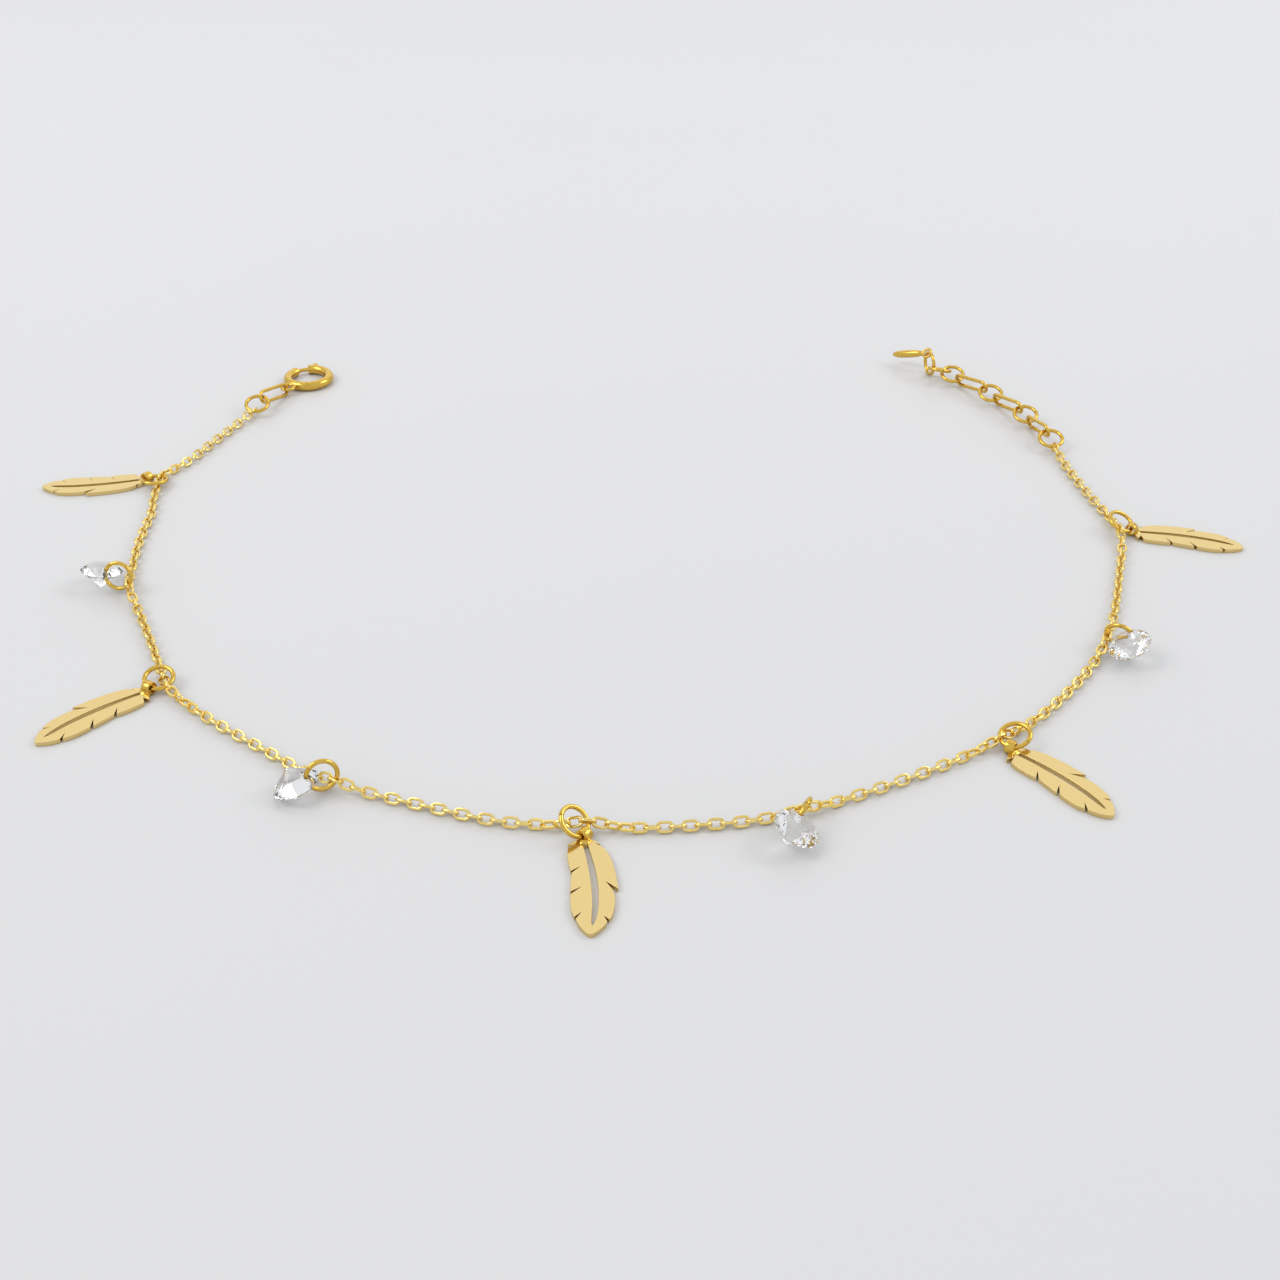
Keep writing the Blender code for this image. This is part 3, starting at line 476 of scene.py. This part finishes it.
@dataclass
class CableChain:
    """The cut cable chain, link by link."""

    offset: tuple[float, float] = (-0.48, 2.61)
    route: tuple[tuple[float, float], ...] = (
        (-43.2, 33.7), (-44.9, 29.7), (-46.6, 25.4), (-47.9, 22.0), (-49.3, 19.4), (-50.3, 17.5),
        (-50.2, 14.6), (-49.9, 11.8), (-49.5, 9.3), (-49.4, 4.9), (-49.0, 0.2), (-47.95, -5.8),
        (-46.1, -9.9), (-44.1, -14.2), (-42.3, -18.3), (-40.35, -22.65), (-37.9, -25.3), (-34.5, -28.3),
        (-29.9, -31.9), (-26.4, -34.6), (-23.1, -36.7), (-19.6, -38.0), (-15.0, -39.6), (-10.0, -41.2),
        (-6.0, -41.8), (-2.1, -42.0), (2.4, -42.2), (8.4, -41.7), (12.0, -41.1), (15.3, -40.2),
        (18.6, -38.7), (22.9, -36.6), (28.0, -33.8), (33.05, -30.5), (37.0, -27.2), (41.0, -22.6),
        (44.0, -18.3), (45.8, -14.9), (47.2, -11.4), (48.6, -7.2), (50.1, -2.0), (51.2, 1.8),
        (51.6, 5.1), (51.3, 9.0), (50.3, 13.9), (49.4, 19.5), (48.8, 24.5),
    )
    threads: tuple[Thread, ...] = (
        Thread(0.0875, 0.57, "charm_ring_1"), Thread(0.2034, 1.11, "charm_ring_6"),
        Thread(0.2947, 0.71, "charm_ring_2"), Thread(0.4049, 1.01, "charm_ring_7"),
        Thread(0.5126, 1.00, "charm_ring_3"), Thread(0.5995, 0.85, "charm_ring_8"),
        Thread(0.6995, 0.75, "charm_ring_4"), Thread(0.8000, 0.91, "charm_ring_9"),
        Thread(0.9031, 1.03, "charm_ring_5"),
    )
    link_length: float = 1.55 * MM
    link_width: float = 1.02 * MM
    wire: float = 0.25 * MM
    wire_high: float = 0.27 * MM
    pitch: float = 1.04 * MM
    height: float = 0.49 * MM
    reach: float = 2.0 * MM
    twist_reach: float = 4.0 * MM
    lay: float = math.radians(45)
    end_room: float = 0.35 * MM
    end_mark: float = 0.55 * MM
    end_lift: float = 0.72 * MM
    look: float = 0.4 * MM
    split: float = 0.555
    bend_steps: int = 6
    run_steps: int = 2
    section_sides: int = 10
    section_power: float = 0.72
    path: Route = field(init=False)

    def __post_init__(self) -> None:
        """Builds the smooth line."""
        dx, dy = self.offset
        self.path = Route([Vector((x + dx, y + dy, 0)) * MM for x, y in self.route])

    def spot(self, distance: float) -> Vector:
        """Returns the lifted point at a distance."""
        flat, rise = self.path.at(distance), 0.0
        lifts = [(t.share * self.path.length, t.lift * MM) for t in self.threads]
        lifts += [(self.end_mark, self.end_lift), (self.path.length - self.end_mark, self.end_lift)]
        for mark, lift in lifts:
            rise = max(rise, (lift - self.height) * math.exp(-(((distance - mark) / self.reach) ** 2)))
        return Vector((flat.x, flat.y, self.height + rise))

    def marks(self) -> tuple[list[float], list[int]]:
        """Spaces the links so that one sits at every ring.

        Returns:
            The middle of each link along the chain, and the index of each threaded link.
        """
        stops = [self.end_room] + [t.share * self.path.length for t in self.threads]
        stops.append(self.path.length - self.end_room)
        marks, threaded = [stops[0]], []
        for first, second in zip(stops, stops[1:]):
            count = max(1, round((second - first) / self.pitch))
            marks += [first + (second - first) * (i + 1) / count for i in range(count)]
            threaded.append(len(marks) - 1)
        return marks, threaded[:-1]

    def wire_turn(self, thread: Thread, spot: Vector, along: Vector) -> float:
        """Finds how a threaded link lies for its ring's wire to pass square through it.

        Args:
            thread: The ring.
            spot: Where it passes.
            along: The chain's direction there.

        Returns:
            The angle of the link's normal about the chain, from level.
        """
        centre, normal, _ = flat_frame(thread.node)
        wire = normal.cross(spot - centre).normalized()
        side = along.cross(UP).normalized()
        top = side.cross(along)
        return math.atan2(wire.dot(top), wire.dot(side))

    def build(self, finishes: Finishes) -> None:
        """Makes the two halves of the chain.

        Args:
            finishes: The built finishes.
        """
        marks, threaded = self.marks()
        spots = [self.spot(m) for m in marks]
        ways = []
        for mark in marks:
            ways.append((self.spot(mark + self.look) - self.spot(mark - self.look)).normalized())
        twists = []
        for thread, index in zip(self.threads, threaded):
            turn = self.wire_turn(thread, spots[index], ways[index]) - (index % 2) * math.pi / 2
            away = (turn - self.lay + math.pi / 2) % math.pi - math.pi / 2
            twists.append((marks[index], away))
        middle = (self.link_length - self.wire, self.link_width - self.wire)
        line = stadium(*middle, self.bend_steps, self.run_steps)
        section = cut_section(self.wire, self.wire_high, self.section_sides, self.section_power)
        split = self.path.length * self.split
        halves = {"cable_chain_left": bmesh.new(), "cable_chain_right": bmesh.new()}
        for index, (mark, spot, way) in enumerate(zip(marks, spots, ways)):
            shares = [(a, math.exp(-(((mark - m) / self.twist_reach) ** 2))) for m, a in twists]
            twist = self.lay + sum(a * share for a, share in shares)
            twist += (index % 2) * math.pi / 2
            side = way.cross(UP).normalized()
            normal = side * math.cos(twist) + side.cross(way) * math.sin(twist)
            frame = Matrix.Translation(spot) @ turn_to(normal, way)
            form = halves["cable_chain_left" if mark < split else "cable_chain_right"]
            start = len(form.verts)
            sweep(form, line, section, True, UP)
            form.verts.ensure_lookup_table()
            bmesh.ops.transform(form, matrix=frame, verts=form.verts[start:])
        for (name, form), node in zip(halves.items(), ("chain_left", "chain_right")):
            dress(name, mesh_of(name, form), finishes.chain, Slot.GOLD, Body.BRACELET, (node,))


@dataclass
class RoundRings:
    """The jump rings, each cut through once as a real one is."""

    outer: float = 3.0 * MM
    wire: float = 0.42 * MM
    seam: float = math.radians(1.6)
    seam_step: float = 1.7
    seam_rise: float = 0.9
    points: int = 57
    names: tuple[str, ...] = (
        *(f"charm_ring_{n}" for n in range(1, 10)),
        "end_ring",
        *(f"extender_ring_{n}" for n in range(1, 5)),
        "bar_ring",
        "upright_ring",
    )

    def build(self, finishes: Finishes) -> None:
        """Makes every ring where its node lies.

        Args:
            finishes: The built finishes.
        """
        radius = (self.outer - self.wire) / 2
        for number, node in enumerate(self.names):
            centre, normal, _ = flat_frame(node)
            form = bmesh.new()
            line = arc(radius, self.seam / 2, 2 * math.pi - self.seam / 2, self.points)
            sweep(form, line, round_section(self.wire / 2, WIRE_SIDES), False, UP)
            turn = number * self.seam_step
            start = Vector((math.cos(turn), math.sin(turn), self.seam_rise))
            form.transform(Matrix.Translation(centre) @ turn_to(normal, start))
            name = node + "_wire"
            dress(name, mesh_of(name, form), finishes.ring, Slot.GOLD, Body.BRACELET, (node,))


@dataclass
class LongLinks:
    """The long oval links at both ends."""

    length: float = 5.5 * MM
    width: float = 1.70 * MM
    wire: float = 0.42 * MM
    bend_steps: int = 14
    run_steps: int = 6
    names: tuple[str, ...] = ("end_link", "extender_link_1", "extender_link_2", "extender_link_3")

    def build(self, finishes: Finishes) -> None:
        """Makes every long link where its node lies.

        Args:
            finishes: The built finishes.
        """
        for node in self.names:
            centre, normal, along = flat_frame(node)
            form = bmesh.new()
            middle = (self.length - self.wire, self.width - self.wire)
            line = stadium(*middle, self.bend_steps, self.run_steps)
            sweep(form, line, round_section(self.wire / 2, WIRE_SIDES), True, UP)
            form.transform(Matrix.Translation(centre) @ turn_to(normal, along))
            name = node + "_wire"
            dress(name, mesh_of(name, form), finishes.ring, Slot.GOLD, Body.BRACELET, (node,))


@dataclass(frozen=True)
class FeatherPose:
    """How one feather hangs on its ring.

    Args:
        out: Heading of the ring's middle, seen from the chain.
        rise: Slope of that direction.
        roll: Turn of the ring about it.
        around: Where the bail sits on the ring, counted from the chain.
        aim: Heading of the feather's tip.
        flipped: Whether its other face is up.
    """

    out: float
    rise: float
    roll: float
    around: float
    aim: float
    flipped: bool = False

    def hook(self, centre: Vector, radius: float) -> tuple[Vector, Vector]:
        """Finds the stretch of wire that holds the bail.

        Args:
            centre: The ring's middle.
            radius: Radius of its middle line.

        Returns:
            The point of the wire, and its level direction there.
        """
        rise, roll, around = (math.radians(v) for v in (self.rise, self.roll, self.around))
        out = heading(math.radians(self.out)) * math.cos(rise) + UP * math.sin(rise)
        up = (UP - out * out.z).normalized()
        along = up * math.cos(roll) + out.cross(up) * math.sin(roll)
        point = centre + (along * math.sin(around) - out * math.cos(around)) * radius
        wire = out * math.sin(around) + along * math.cos(around)
        return point, Vector((wire.x, wire.y, 0)).normalized()


@dataclass
class Feathers:
    """The pierced feathers with their bails."""

    length: float = 11.8 * MM
    width: float = 3.7 * MM
    plate: float = 0.42 * MM
    edge_round: float = 0.07 * MM
    bail_hole: float = 0.80 * MM
    bail_wall: float = 0.22 * MM
    bail_width: float = 0.85 * MM
    bail_sides: int = 40
    neck_overlap: float = 0.5 * MM
    neck_stations: int = 7
    outline_steps: int = 5
    sharp: float = 35.0
    bevel_segments: int = 3
    bevel_angle: float = math.radians(50)
    rest: float = 0.02 * MM
    edge: tuple[tuple[float, float, bool], ...] = (
        (-0.13, 0.085, True), (-0.21, 0.090, False), (-0.37, 0.125, True), (-0.19, 0.140, True),
        (-0.36, 0.165, True), (-0.385, 0.215, False), (-0.375, 0.300, False), (-0.335, 0.395, True),
        (-0.125, 0.350, True), (-0.315, 0.412, True), (-0.345, 0.500, False), (-0.365, 0.595, True),
        (-0.125, 0.550, True), (-0.360, 0.618, True), (-0.375, 0.700, False), (-0.360, 0.780, False),
        (-0.310, 0.835, True), (-0.150, 0.788, True), (-0.285, 0.852, True), (-0.235, 0.905, False),
        (-0.130, 0.962, False), (0.005, 1.000, False), (0.150, 0.972, False), (0.330, 0.908, True),
        (0.352, 0.888, True), (0.290, 0.832, True), (0.395, 0.872, True), (0.475, 0.825, False),
        (0.535, 0.740, False), (0.550, 0.655, False), (0.525, 0.600, True), (0.380, 0.505, True),
        (0.635, 0.588, True), (0.615, 0.470, False), (0.580, 0.370, False), (0.530, 0.285, False),
        (0.450, 0.205, False), (0.365, 0.160, True), (0.215, 0.120, True), (0.330, 0.138, True),
        (0.250, 0.105, False), (0.15, 0.085, True),
    )
    slit: tuple[tuple[float, float, bool], ...] = (
        (-0.045, 0.135, True), (0.060, 0.128, True), (0.110, 0.220, False), (0.170, 0.340, False),
        (0.205, 0.450, False), (0.220, 0.560, False), (0.215, 0.660, False), (0.190, 0.760, False),
        (0.140, 0.850, False), (0.055, 0.920, False), (0.030, 0.900, False), (0.045, 0.830, False),
        (0.075, 0.720, False), (0.080, 0.600, False), (0.065, 0.470, False), (0.030, 0.320, False),
        (-0.010, 0.210, False),
    )
    ring_radius: float = 1.29 * MM
    poses: tuple[FeatherPose, ...] = (
        FeatherPose(250, 9, 272, 288, 188),
        FeatherPose(137, 12, 78, 281, -135, True),
        FeatherPose(212, 23, 55, 299, -86),
        FeatherPose(358, 14, 104, 63, -53),
        FeatherPose(69, 9, 115, 82, -17.5),
    )

    def outline(self, table: tuple[tuple[float, float, bool], ...], steps: int) -> list[Vector]:
        """Rounds a table of shares between its corners.

        Args:
            table: Shares of the width and length, and whether the point is a corner.
            steps: Points between two of the table's points.

        Returns:
            The smooth outline.
        """
        spots = [Vector((-s * self.width, u * self.length, 0)) for s, u, _ in table]
        sharp = [corner for _, _, corner in table]
        line: list[Vector] = []
        for index, b in enumerate(spots):
            after = (index + 1) % len(spots)
            c = spots[after]
            if sharp[index] and sharp[after]:
                line.append(b)
                continue
            a = b * 2 - c if sharp[index] else spots[index - 1]
            d = c * 2 - b if sharp[after] else spots[(after + 1) % len(spots)]
            for step in range(steps):
                t = step / steps
                curve = b * 2 + (c - a) * t + (a * 2 - b * 5 + c * 4 - d) * t * t
                line.append(0.5 * (curve + (b * 3 - a - c * 3 + d) * t**3))
        return line

    def plate_mesh(self, flipped: bool) -> bpy.types.Mesh:
        """Makes the pierced plate, its bail's centre at the origin and its tip at +Y.

        Args:
            flipped: Whether the other face is up.

        Returns:
            The plate's mesh.
        """
        outer = self.bail_hole / 2 + self.bail_wall
        form = bmesh.new()
        edges = []
        for table in (self.edge, self.slit):
            loop = [form.verts.new(p) for p in self.outline(table, self.outline_steps)]
            edges += [form.edges.new((a, b)) for a, b in zip(loop, loop[1:] + loop[:1])]
        bmesh.ops.triangle_fill(form, edges=edges, use_beauty=True, use_dissolve=False)
        grown = bmesh.ops.extrude_face_region(form, geom=list(form.faces))
        top = [item for item in grown["geom"] if isinstance(item, bmesh.types.BMVert)]
        bmesh.ops.translate(form, verts=top, vec=Vector((0, 0, self.plate)))
        bmesh.ops.translate(form, verts=form.verts, vec=Vector((0, -outer, -outer)))
        if flipped:
            form.transform(Matrix.Scale(-1, 4, Vector((1, 0, 0))))
        return mesh_of("feather_plate", form)

    def bail_mesh(self, turn: float) -> bpy.types.Mesh:
        """Makes the bail and its neck.

        Args:
            turn: Turn of the bail's hole from +X.

        Returns:
            The mesh.
        """
        outer, inner = self.bail_hole / 2 + self.bail_wall, self.bail_hole / 2
        half, soft = self.bail_width / 2, self.bail_wall * 0.35
        form = bmesh.new()
        profile = [
            (-half + soft, outer), (half - soft, outer), (half - soft * 0.3, outer - soft * 0.3),
            (half, outer - soft), (half, inner + soft * 0.4), (half - soft * 0.4, inner),
            (-half + soft * 0.4, inner), (-half, inner + soft * 0.4), (-half, outer - soft),
            (-half + soft * 0.3, outer - soft * 0.3),
        ]
        rings, sides = [], self.bail_sides
        for step in range(sides):
            angle = 2 * math.pi * step / sides
            c, s = math.cos(angle), math.sin(angle)
            rings.append([form.verts.new(Vector((x, r * c, r * s))) for x, r in profile])
        for near, far in zip(rings, rings[1:] + rings[:1]):
            for step in range(len(profile)):
                nxt = (step + 1) % len(profile)
                form.faces.new((near[step], far[step], far[nxt], near[nxt]))
        form.transform(Matrix.Rotation(turn, 4, "Z"))
        near_y = inner + self.bail_wall * 0.35
        far_y = self.edge[0][1] * self.length - outer + self.neck_overlap
        low, high = -outer + self.plate * 0.2, -outer + self.plate * 1.45
        stations = self.neck_stations
        rows = []
        for index in range(stations):
            t = index / (stations - 1)
            wide = self.bail_width * (0.42 + 0.16 * t * t)
            top = high * (1 - t * t) + (-outer + self.plate * 1.0) * t * t
            y = near_y + (far_y - near_y) * t
            crown = (top - low) * 0.25
            rim = [(-1, low), (-1, top - crown), (-0.6, top), (0.6, top), (1, top - crown), (1, low)]
            rows.append([form.verts.new(Vector((x * wide, y, z))) for x, z in rim])
        for near, far in zip(rows, rows[1:]):
            for step in range(len(near)):
                nxt = (step + 1) % len(near)
                form.faces.new((near[step], near[nxt], far[nxt], far[step]))
        form.faces.new(rows[0])
        form.faces.new(rows[-1])
        return mesh_of("feather_bail", form)

    def seat(self, number: int) -> tuple[Vector, float]:
        """Finds the bail's middle and the turn of its hole.

        Args:
            number: The feather's number, from 1.

        Returns:
            The bail's centre, and the turn from the feather's own width.
        """
        pose = self.poses[number - 1]
        centre, _, _ = flat_frame(f"charm_ring_{number}")
        hold, wire = pose.hook(centre, self.ring_radius)
        across = heading(math.radians(pose.aim)).cross(UP)
        wire = -wire if wire.dot(across) < 0 else wire
        turn = math.atan2(across.cross(wire).z, across.dot(wire))
        outer = self.bail_hole / 2 + self.bail_wall
        return Vector((hold.x, hold.y, outer + self.rest)), turn

    def build(self, finishes: Finishes) -> None:
        """Makes every feather where its node lies.

        Args:
            finishes: The built finishes.
        """
        for index, pose in enumerate(self.poses):
            centre, turn = self.seat(index + 1)
            aim = heading(math.radians(pose.aim))
            place = Matrix.Translation(centre) @ turn_to(UP, aim.cross(UP))
            plate = self.plate_mesh(pose.flipped)
            plate.transform(place)
            bail = self.bail_mesh(turn)
            bail.transform(place)
            node = f"feather_{index + 1}"
            leaf = dress(
                node + "_plate",
                plate,
                finishes.feather,
                Slot.PALE_GOLD,
                Body.BRACELET,
                (node,),
                self.sharp,
            )
            bevel = leaf.modifiers.new("soft_edge", "BEVEL")
            bevel.width = self.edge_round
            bevel.segments = self.bevel_segments
            bevel.limit_method = "ANGLE"
            bevel.angle_limit = self.bevel_angle
            bevel.harden_normals = True
            dress(node + "_bail", bail, finishes.ring, Slot.GOLD, Body.BRACELET, (), self.sharp)


@dataclass
class Stones:
    """The drilled brilliants, which keep their cut from the solids."""

    names: tuple[str, ...] = ("stone_1", "stone_2", "stone_3", "stone_4")

    def build(self, finishes: Finishes) -> None:
        """Gives every stone its clear finish.

        Args:
            finishes: The built finishes.
        """
        for node in self.names:
            stone = bpy.data.objects[node]
            for slot in stone.material_slots:
                slot.material = finishes.stone
            LOG.info("%s: %d faces, cut clear", node, len(stone.data.polygons))


@dataclass
class SpringRing:
    """The spring-ring clasp and its bolt."""

    outer: float = 6.0 * MM
    tube: float = 1.10 * MM
    bore: float = 0.66 * MM
    run_gap: float = 0.09 * MM
    centre: tuple[float, float, float] = (-38.823, 45.597, 0.57)
    eye_turn: float = math.radians(240)
    mouth: tuple[float, float] = (math.radians(100), math.radians(135))
    bolt: tuple[float, float] = (math.radians(32), math.radians(138))
    trigger: float = math.radians(85)
    travel: float = math.radians(38)
    trigger_reach: float = 0.75 * MM
    stem: float = 0.36 * MM
    knob: float = 0.80 * MM
    eye_outer: float = 1.90 * MM
    eye_wire: float = 0.40 * MM
    eye_rise: float = 0.28 * MM
    eye_seat: float = 0.12 * MM
    tube_sides: int = 24
    tube_points: int = 97
    slot_points: int = 17
    rod_sides: int = 16
    rod_points: int = 41
    eye_points: int = 48

    def middle(self) -> float:
        """Returns the radius of the tube's middle line."""
        return (self.outer - self.tube) / 2

    def body_mesh(self) -> bpy.types.Mesh:
        """Makes the bored tube with its eye.

        Returns:
            The mesh, round the origin.
        """
        form = bmesh.new()
        ends = (self.mouth[1], self.mouth[0] + 2 * math.pi)
        sides, count = self.tube_sides, self.tube_points
        line = arc(self.middle(), ends[0], ends[1], count)
        rows = []
        for radius in (self.tube / 2, self.bore / 2):
            start = len(form.verts)
            sweep(form, line, round_section(radius, sides), False, UP, capped=False)
            form.verts.ensure_lookup_table()
            rows.append(form.verts[start:])
        for side in (0, (count - 1) * sides):
            outer, inner = rows[0][side : side + sides], rows[1][side : side + sides]
            for step in range(sides):
                nxt = (step + 1) % sides
                form.faces.new((outer[step], outer[nxt], inner[nxt], inner[step]))
        return mesh_of("clasp_tube", form)

    def slot_mesh(self) -> bpy.types.Mesh:
        """Makes the form of the trigger's slot.

        Returns:
            The mesh, round the origin.
        """
        radius = self.stem / 2 + self.run_gap
        play = radius / self.middle() * 0.4
        ends = (self.trigger - self.travel - play, self.trigger + play)
        form = bmesh.new()
        line = arc(self.middle() + self.tube / 2, *ends, self.slot_points)
        sweep(form, line, round_section(radius, self.rod_sides), False, UP)
        return mesh_of("clasp_slot", form)

    def add_tube(self, place: Matrix, finishes: Finishes) -> None:
        """Makes the bored tube, and cuts its slot.

        Args:
            place: Where the clasp lies.
            finishes: The built finishes.
        """
        body = self.body_mesh()
        body.transform(place)
        tube = dress("clasp_tube", body, finishes.ring, Slot.GOLD, Body.BRACELET, ("clasp_ring",))
        slot = self.slot_mesh()
        slot.transform(place)
        cutter = bpy.data.objects.new("clasp_slot", slot)
        bpy.context.scene.collection.objects.link(cutter)
        cut = tube.modifiers.new("slot", "BOOLEAN")
        cut.operation = "DIFFERENCE"
        cut.object = cutter
        bpy.context.view_layer.update()
        view = bpy.context.evaluated_depsgraph_get()
        done = bpy.data.meshes.new_from_object(tube.evaluated_get(view))
        tube.modifiers.clear()
        tube.data = done
        bpy.data.objects.remove(cutter)
        done.shade_smooth()
        done.set_sharp_from_angle(angle=math.radians(SHARP_ANGLE))

    def add_eye(self, place: Matrix, finishes: Finishes) -> None:
        """Makes the fixed eye.

        Args:
            place: Where the clasp lies.
            finishes: The built finishes.
        """
        form = bmesh.new()
        line = circle((self.eye_outer - self.eye_wire) / 2, self.eye_points)
        sweep(form, line, round_section(self.eye_wire / 2, WIRE_SIDES), True, UP)
        reach = self.outer / 2 + self.eye_outer / 2 - self.eye_seat
        shift = heading(self.eye_turn) * reach + Vector((0, 0, self.eye_rise))
        form.transform(place @ Matrix.Translation(shift))
        dress("clasp_eye", mesh_of("clasp_eye", form), finishes.ring, Slot.GOLD, Body.BRACELET, ())

    def add_bolt(self, place: Matrix, finishes: Finishes) -> None:
        """Makes the bolt with its trigger.

        Args:
            place: Where the clasp lies.
            finishes: The built finishes.
        """
        form = bmesh.new()
        rod = round_section(self.bore / 2 - self.run_gap, self.rod_sides)
        sweep(form, arc(self.middle(), *self.bolt, self.rod_points), rod, False, UP)
        out = heading(self.trigger)
        reach = self.outer / 2 + self.trigger_reach - self.knob / 2
        stem = round_section(self.stem / 2, self.rod_sides)
        sweep(form, [out * self.middle(), out * reach], stem, False, out.cross(UP).cross(out))
        ball = bmesh.ops.create_uvsphere(form, u_segments=24, v_segments=16, radius=self.knob / 2)
        bmesh.ops.translate(form, verts=ball["verts"], vec=out * reach)
        form.transform(place)
        mesh = mesh_of("clasp_trigger", form)
        dress("clasp_trigger", mesh, finishes.ring, Slot.GOLD, Body.BOLT, ("clasp_bolt",))

    def build(self, finishes: Finishes) -> None:
        """Makes the clasp's ring, its eye and its bolt.

        Args:
            finishes: The built finishes.
        """
        place = Matrix.Translation(Vector(self.centre) * MM)
        self.add_tube(place, finishes)
        self.add_eye(place, finishes)
        self.add_bolt(place, finishes)


@dataclass
class EndDrop:
    """The small solid drop at the extender's end."""

    merge: float = 0.002 * MM
    soft_angle: float = 75.0

    def build(self, finishes: Finishes) -> None:
        """Rounds the drop's solid.

        Args:
            finishes: The built finishes.
        """
        mesh = bpy.data.objects["end_drop"].data.copy()
        form = bmesh.new()
        form.from_mesh(mesh)
        bmesh.ops.remove_doubles(form, verts=form.verts, dist=self.merge)
        form.to_mesh(mesh)
        form.free()
        where = (Slot.GOLD, Body.BRACELET, ("end_drop",))
        dress("end_drop_polished", mesh, finishes.ring, *where, self.soft_angle)


@dataclass
class Studio:
    """Pale floor, soft light and the photograph's camera."""

    camera_at: tuple[float, float, float] = (1.62, -145.09, 88.4)
    pitch: float = math.radians(33.5)
    focal_share: float = 1700 / 1280
    floor_reach: float = 4.0
    sky: tuple[float, float, float] = (0.93, 0.94, 0.96)
    sky_strength: float = 0.86

    def camera(self) -> None:
        """Sets the camera where the photograph was taken from."""
        data = bpy.data.cameras.new("photo_camera")
        data.sensor_width = 36.0
        data.lens = 36.0 * self.focal_share
        data.clip_start = 0.005
        data.clip_end = 20.0
        camera = bpy.data.objects.new("photo_camera", data)
        bpy.context.scene.collection.objects.link(camera)
        camera.location = Vector(self.camera_at) * MM
        camera.rotation_euler = (math.pi / 2 - self.pitch, 0.0, 0.0)
        bpy.context.scene.camera = camera

    def floor(self) -> None:
        """Lays the pale floor."""
        form = bmesh.new()
        bmesh.ops.create_grid(form, x_segments=4, y_segments=4, size=self.floor_reach / 2)
        sheet = bpy.data.objects.new("floor", mesh_of("floor", form))
        sheet.data.materials.append(FloorFinish().build())
        bpy.context.scene.collection.objects.link(sheet)

    def light(
        self, name: str, at: tuple[float, float, float], size: float, power: float, warm: float
    ) -> None:
        """Adds one soft box aimed at the origin.

        Args:
            name: Name of the light.
            at: Its place, in metres.
            size: Its width.
            power: Its power in watts.
            warm: Share of blue left in its colour.
        """
        data = bpy.data.lights.new(name, "AREA")
        data.size = size
        data.energy = power
        data.color = (1.0, 0.5 + warm / 2, warm)
        lamp = bpy.data.objects.new(name, data)
        bpy.context.scene.collection.objects.link(lamp)
        lamp.location = at
        lamp.rotation_euler = (-Vector(at)).to_track_quat("-Z", "Y").to_euler()

    def build(self) -> None:
        """Sets the whole stage."""
        self.camera()
        self.floor()
        self.light("left_box", (-0.45, -0.05, 0.50), 0.35, 1.2, 0.98)
        self.light("right_box", (0.50, 0.10, 0.42), 0.30, 0.8, 1.0)
        self.light("back_box", (0.0, 0.60, 0.45), 0.80, 0.6, 1.0)
        world = bpy.data.worlds.new("studio")
        world.use_nodes = True
        shade = world.node_tree.nodes["Background"]
        shade.inputs["Color"].default_value = (*self.sky, 1.0)
        shade.inputs["Strength"].default_value = self.sky_strength
        bpy.context.scene.world = world
        bpy.context.scene.view_settings.view_transform = "Standard"


def main() -> None:
    """Builds the dressed bracelet, piece by piece."""
    logging.basicConfig(level=logging.INFO)
    for old in list(bpy.data.objects):
        bpy.data.objects.remove(old)
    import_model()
    finishes = Finishes.build()
    Studio().build()
    parts = (
        CableChain(),
        RoundRings(),
        LongLinks(),
        Feathers(),
        Stones(),
        SpringRing(),
        EndDrop(),
    )
    for part in parts:
        part.build(finishes)


if __name__ == "__main__":
    main()
